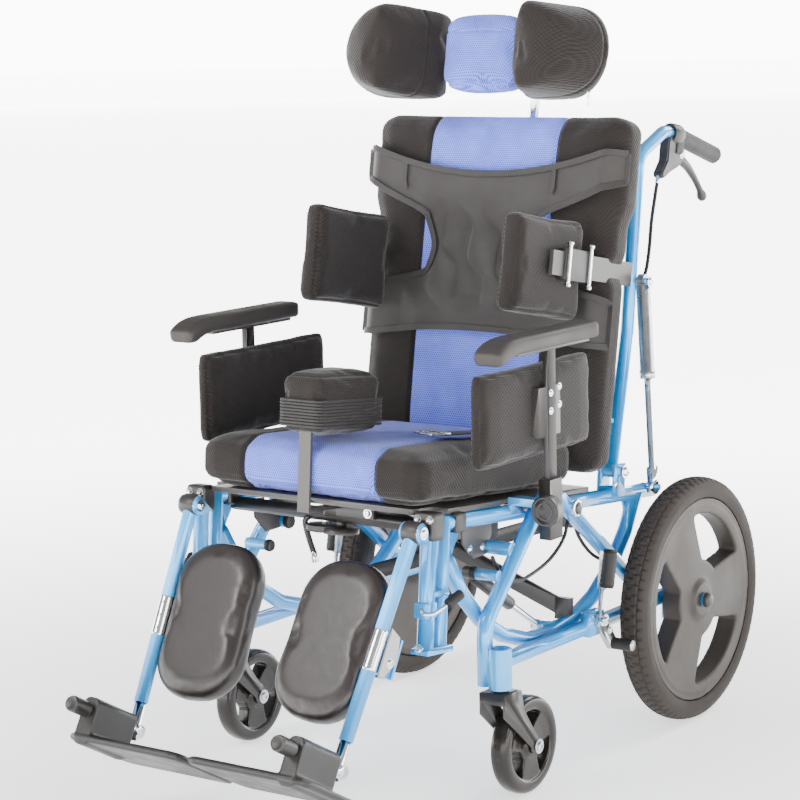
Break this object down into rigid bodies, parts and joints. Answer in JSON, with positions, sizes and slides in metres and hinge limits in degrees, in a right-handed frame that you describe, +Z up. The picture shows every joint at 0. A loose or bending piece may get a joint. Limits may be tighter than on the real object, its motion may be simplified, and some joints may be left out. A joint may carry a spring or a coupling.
{
  "type": "tilt in space wheelchair",
  "caption": "Tilt-in-space wheelchair with reclining cushioned back, winged headrest, padded laterals, pommel and elevating leg supports.",
  "frame": {"origin": "centre of the bounding box in plan, on the floor", "axes": "+X the chair's left, -Y the way it faces, +Z up"},
  "size_m": [0.644, 1.2146, 1.1972],
  "materials": {
    "blue_frame": "gloss",
    "zinc": "satin",
    "chrome": "polished",
    "black_steel": "satin",
    "tyre": "matt",
    "rim": "satin",
    "black_plastic": "satin",
    "arm_pad": "matt",
    "black_mesh": "matt",
    "blue_mesh": "matt",
    "leather": "satin"
  },
  "bodies": {
    "base": {"base_side_left": "blue_frame", "base_side_right": "blue_frame", "pivot_cross_tube": "zinc"},
    "seat": {"seat_side_left": "blue_frame", "seat_side_right": "blue_frame", "seat_front_tube": "black_steel", "cross_brace": "black_steel", "seat_pan": "black_plastic", "seat_cushion": "black_mesh", "armrest_socket_left": "black_plastic", "armrest_socket_right": "black_plastic"},
    "back": {"back_frame": "blue_frame", "back_cushion": "black_mesh", "chest_harness": "black_mesh", "push_grip_left": "black_plastic", "push_grip_right": "black_plastic"},
    "pommel": {"pommel_bar": "chrome", "pommel_pad": "black_mesh"},
    "headrest": {"headrest_stem": "chrome", "head_pad": "blue_mesh"},
    "tilt_strut_barrel": {"tilt_spring_barrel": "black_steel"},
    "tilt_strut_rod": {"tilt_spring_rod": "chrome"},
    "rear_wheel_left": {"rear_rim_left": "rim", "rear_tyre_left": "tyre"},
    "caster_swivel_body_left": {"caster_fork_left": "black_steel"},
    "caster_wheel_body_left": {"caster_wheel_left": "rim"},
    "lock_lever_left": {"wheel_lock_left": "black_steel"},
    "recline_barrel_body_left": {"recline_barrel_left": "black_steel"},
    "recline_rod_body_left": {"recline_rod_left": "chrome"},
    "lever_left": {"release_lever_left": "black_steel"},
    "armrest_left": {"armrest_post_left": "black_steel", "armrest_pad_left": "arm_pad", "hip_pad_left": "black_mesh"},
    "lateral_left": {"lateral_pad_left": "black_mesh"},
    "wing_left": {"head_wing_left": "black_mesh"},
    "hanger_body_left": {"hanger_left": "blue_frame"},
    "leg_left": {"leg_tube_left": "blue_frame", "calf_pad_left": "leather"},
    "leg_slide_body_left": {"leg_slider_left": "zinc"},
    "foot_left": {"footplate_left": "black_plastic"},
    "rear_wheel_right": {"rear_rim_right": "rim", "rear_tyre_right": "tyre"},
    "caster_swivel_body_right": {"caster_fork_right": "black_steel"},
    "caster_wheel_body_right": {"caster_wheel_right": "rim"},
    "lock_lever_right": {"wheel_lock_right": "black_steel"},
    "recline_barrel_body_right": {"recline_barrel_right": "black_steel"},
    "recline_rod_body_right": {"recline_rod_right": "chrome"},
    "lever_right": {"release_lever_right": "black_steel"},
    "armrest_right": {"armrest_post_right": "black_steel", "armrest_pad_right": "arm_pad", "hip_pad_right": "black_mesh"},
    "lateral_right": {"lateral_pad_right": "black_mesh"},
    "wing_right": {"head_wing_right": "black_mesh"},
    "hanger_body_right": {"hanger_right": "blue_frame"},
    "leg_right": {"leg_tube_right": "blue_frame", "calf_pad_right": "leather"},
    "leg_slide_body_right": {"leg_slider_right": "zinc"},
    "foot_right": {"footplate_right": "black_plastic"}
  },
  "joints": [
    {"name": "seat_tilt", "type": "hinge", "parent": "base", "child": "seat", "pos_m": [0, 0.06892, 0.41], "axis": [-1, 0, 0], "range_deg": [0, 25]},
    {"name": "back_recline", "type": "hinge", "parent": "seat", "child": "back", "pos_m": [0, 0.2519, 0.43615], "axis": [-1, 0, 0], "range_deg": [0, 30]},
    {"name": "tilt_strut_swing", "type": "hinge", "parent": "base", "child": "tilt_strut_barrel", "pos_m": [0.187, -0.12508, 0.338], "axis": [-1, 0, 0], "range_deg": [0, 11.2]},
    {"name": "tilt_strut_slide", "type": "slide", "parent": "tilt_strut_barrel", "child": "tilt_strut_rod", "axis": [0, -0.8412, 0.5408], "range_m": [0, 0.0765]},
    {"name": "rear_wheel_spin_left", "type": "hinge", "parent": "base", "child": "rear_wheel_left", "pos_m": [0.283, 0.39092, 0.203], "axis": [1, 0, 0], "continuous": true},
    {"name": "caster_swivel_left", "type": "hinge", "parent": "base", "child": "caster_swivel_body_left", "pos_m": [0.266, -0.16308, 0.17], "axis": [0, 0, 1], "continuous": true},
    {"name": "caster_wheel_spin_left", "type": "hinge", "parent": "caster_swivel_body_left", "child": "caster_wheel_body_left", "pos_m": [0.266, -0.10008, 0.076], "axis": [1, 0, 0], "continuous": true},
    {"name": "wheel_lock_turn_left", "type": "hinge", "parent": "base", "child": "lock_lever_left", "pos_m": [0.2626, 0.12892, 0.22], "axis": [1, 0, 0], "range_deg": [0, 15]},
    {"name": "recline_strut_swing_left", "type": "hinge", "parent": "back", "child": "recline_barrel_body_left", "pos_m": [0.237, 0.31913, 0.73901], "axis": [1, 0, 0], "range_deg": [0, 2.9]},
    {"name": "recline_strut_slide_left", "type": "slide", "parent": "recline_barrel_body_left", "child": "recline_rod_body_left", "axis": [0, -0.0854, 0.9964], "range_m": [0, 0.0525]},
    {"name": "release_lever_squeeze_left", "type": "hinge", "parent": "back", "child": "lever_left", "pos_m": [0.215, 0.46598, 0.94304], "axis": [1, 0, 0], "range_deg": [0, 12], "stiffness_Nm_per_rad": 0.8, "springref_deg": -8.59},
    {"name": "armrest_height_left", "type": "slide", "parent": "seat", "child": "armrest_left", "axis": [0, 0, 1], "range_m": [0, 0.05]},
    {"name": "lateral_pad_slide_left", "type": "slide", "parent": "back", "child": "lateral_left", "axis": [0, 0.9839, -0.1788], "range_m": [-0.02, 0.012]},
    {"name": "head_wing_open_left", "type": "hinge", "parent": "headrest", "child": "wing_left", "pos_m": [0.088, 0.26311, 1.09069], "axis": [0, 0.1788, 0.9839], "range_deg": [0, 20]},
    {"name": "hanger_swing_left", "type": "hinge", "parent": "seat", "child": "hanger_body_left", "pos_m": [0.215, -0.24064, 0.3367], "axis": [0, 0.0872, 0.9962], "range_deg": [0, 90]},
    {"name": "leg_lift_left", "type": "hinge", "parent": "hanger_body_left", "child": "leg_left", "pos_m": [0.209, -0.29838, 0.4341], "axis": [-1, 0, 0], "range_deg": [0, 60]},
    {"name": "leg_length_left", "type": "slide", "parent": "leg_left", "child": "leg_slide_body_left", "axis": [-0.0523, -0.4872, -0.8717], "range_m": [-0.02, 0.05]},
    {"name": "footplate_flip_left", "type": "hinge", "parent": "leg_slide_body_left", "child": "foot_left", "pos_m": [0.19026, -0.52691, 0.15228], "axis": [0, 0.8729, -0.4879], "range_deg": [0, 25]},
    {"name": "rear_wheel_spin_right", "type": "hinge", "parent": "base", "child": "rear_wheel_right", "pos_m": [-0.283, 0.39092, 0.203], "axis": [1, 0, 0], "continuous": true},
    {"name": "caster_swivel_right", "type": "hinge", "parent": "base", "child": "caster_swivel_body_right", "pos_m": [-0.266, -0.16308, 0.17], "axis": [0, 0, 1], "continuous": true},
    {"name": "caster_wheel_spin_right", "type": "hinge", "parent": "caster_swivel_body_right", "child": "caster_wheel_body_right", "pos_m": [-0.266, -0.10008, 0.076], "axis": [1, 0, 0], "continuous": true},
    {"name": "wheel_lock_turn_right", "type": "hinge", "parent": "base", "child": "lock_lever_right", "pos_m": [-0.2626, 0.12892, 0.22], "axis": [1, 0, 0], "range_deg": [0, 15]},
    {"name": "recline_strut_swing_right", "type": "hinge", "parent": "back", "child": "recline_barrel_body_right", "pos_m": [-0.237, 0.31913, 0.73901], "axis": [1, 0, 0], "range_deg": [0, 2.9]},
    {"name": "recline_strut_slide_right", "type": "slide", "parent": "recline_barrel_body_right", "child": "recline_rod_body_right", "axis": [0, -0.0854, 0.9964], "range_m": [0, 0.0525]},
    {"name": "release_lever_squeeze_right", "type": "hinge", "parent": "back", "child": "lever_right", "pos_m": [-0.215, 0.46598, 0.94304], "axis": [1, 0, 0], "range_deg": [0, 12], "stiffness_Nm_per_rad": 0.8, "springref_deg": -8.59},
    {"name": "armrest_height_right", "type": "slide", "parent": "seat", "child": "armrest_right", "axis": [0, 0, 1], "range_m": [0, 0.05]},
    {"name": "lateral_pad_slide_right", "type": "slide", "parent": "back", "child": "lateral_right", "axis": [0, 0.9839, -0.1788], "range_m": [-0.02, 0.012]},
    {"name": "head_wing_open_right", "type": "hinge", "parent": "headrest", "child": "wing_right", "pos_m": [-0.088, 0.26311, 1.09069], "axis": [0, -0.1788, -0.9839], "range_deg": [0, 20]},
    {"name": "hanger_swing_right", "type": "hinge", "parent": "seat", "child": "hanger_body_right", "pos_m": [-0.215, -0.24064, 0.3367], "axis": [0, -0.0872, -0.9962], "range_deg": [0, 90]},
    {"name": "leg_lift_right", "type": "hinge", "parent": "hanger_body_right", "child": "leg_right", "pos_m": [-0.209, -0.29838, 0.4341], "axis": [-1, 0, 0], "range_deg": [0, 60]},
    {"name": "leg_length_right", "type": "slide", "parent": "leg_right", "child": "leg_slide_body_right", "axis": [0.0523, -0.4872, -0.8717], "range_m": [-0.02, 0.05]},
    {"name": "footplate_flip_right", "type": "hinge", "parent": "leg_slide_body_right", "child": "foot_right", "pos_m": [-0.19026, -0.52691, 0.15228], "axis": [0, -0.8729, 0.4879], "range_deg": [0, 25]},
    {"name": "pommel_slide", "type": "slide", "parent": "seat", "child": "pommel", "axis": [0, -0.9962, 0.0872], "range_m": [0, 0.03]},
    {"name": "headrest_height", "type": "slide", "parent": "back", "child": "headrest", "axis": [0, 0.1788, 0.9839], "range_m": [0, 0.04]}
  ],
  "couplings": [
    {"joint": "tilt_strut_swing", "follows": "seat_tilt", "ratio": 0.4469},
    {"joint": "tilt_strut_slide", "follows": "seat_tilt", "m_per_rad": 0.17482},
    {"joint": "recline_strut_swing_left", "follows": "back_recline", "ratio": 0.0931},
    {"joint": "recline_strut_slide_left", "follows": "back_recline", "m_per_rad": 0.09936},
    {"joint": "recline_strut_swing_right", "follows": "back_recline", "ratio": 0.0931},
    {"joint": "recline_strut_slide_right", "follows": "back_recline", "m_per_rad": 0.09936}
  ]
}
